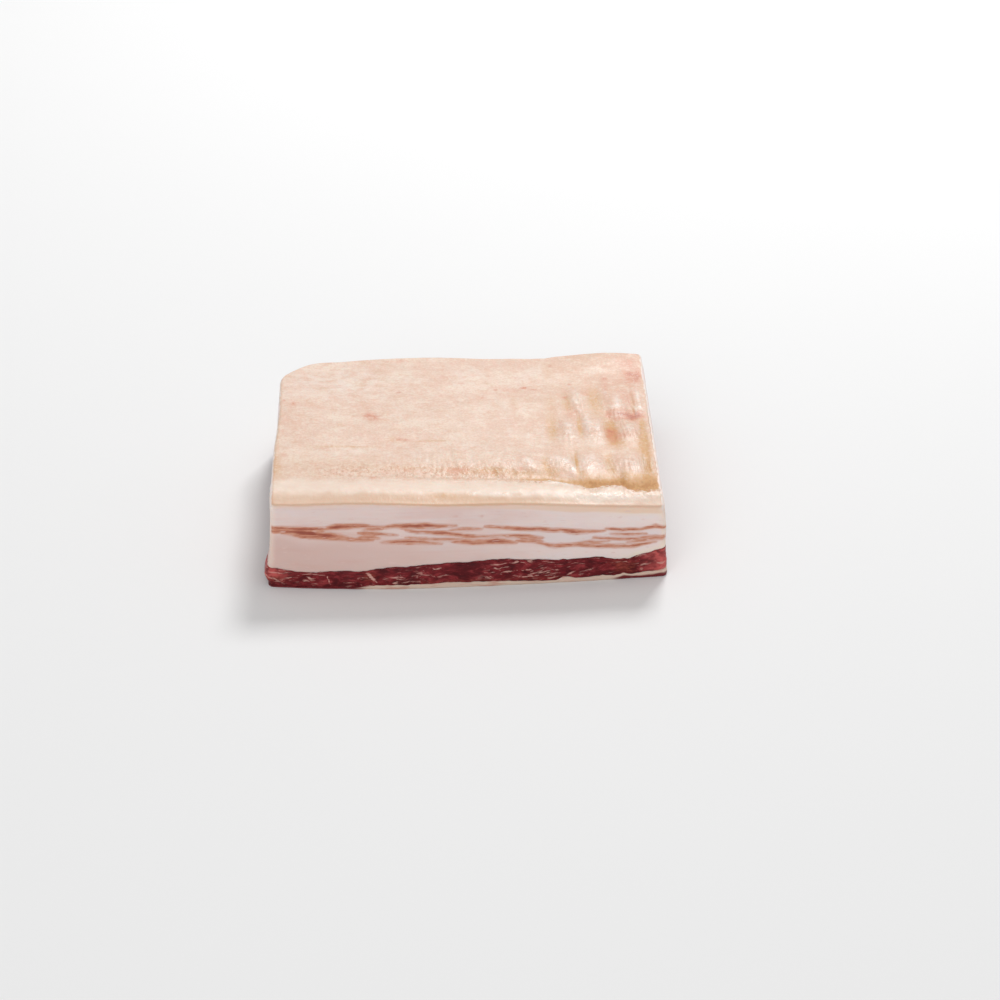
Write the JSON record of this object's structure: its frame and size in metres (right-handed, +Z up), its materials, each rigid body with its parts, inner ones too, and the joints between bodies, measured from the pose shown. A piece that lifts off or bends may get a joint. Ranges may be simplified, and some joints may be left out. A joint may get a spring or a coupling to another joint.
{
  "type": "raw pork belly slab",
  "caption": "Thick square-cut slab of raw pork belly, rind side up, with its layers of fat and lean showing on the cut sides.",
  "frame": {"origin": "middle of the slab's plan box, on the surface it lies on", "axes": "+X to the right along the front cut face, +Y from the front cut face to the back, +Z up through the layers to the rind"},
  "size_m": [0.1662, 0.1414, 0.04],
  "materials": {
    "rind_and_fat": "satin",
    "streaky_fat": "satin",
    "fat": "satin",
    "lean": "moist",
    "underside": "satin"
  },
  "bodies": {
    "root": {"fat_cap": "rind_and_fat", "streaky_lean": "streaky_fat", "inner_fat": "fat", "lean_meat": "lean", "underside_fat": "underside"}
  },
  "joints": []
}
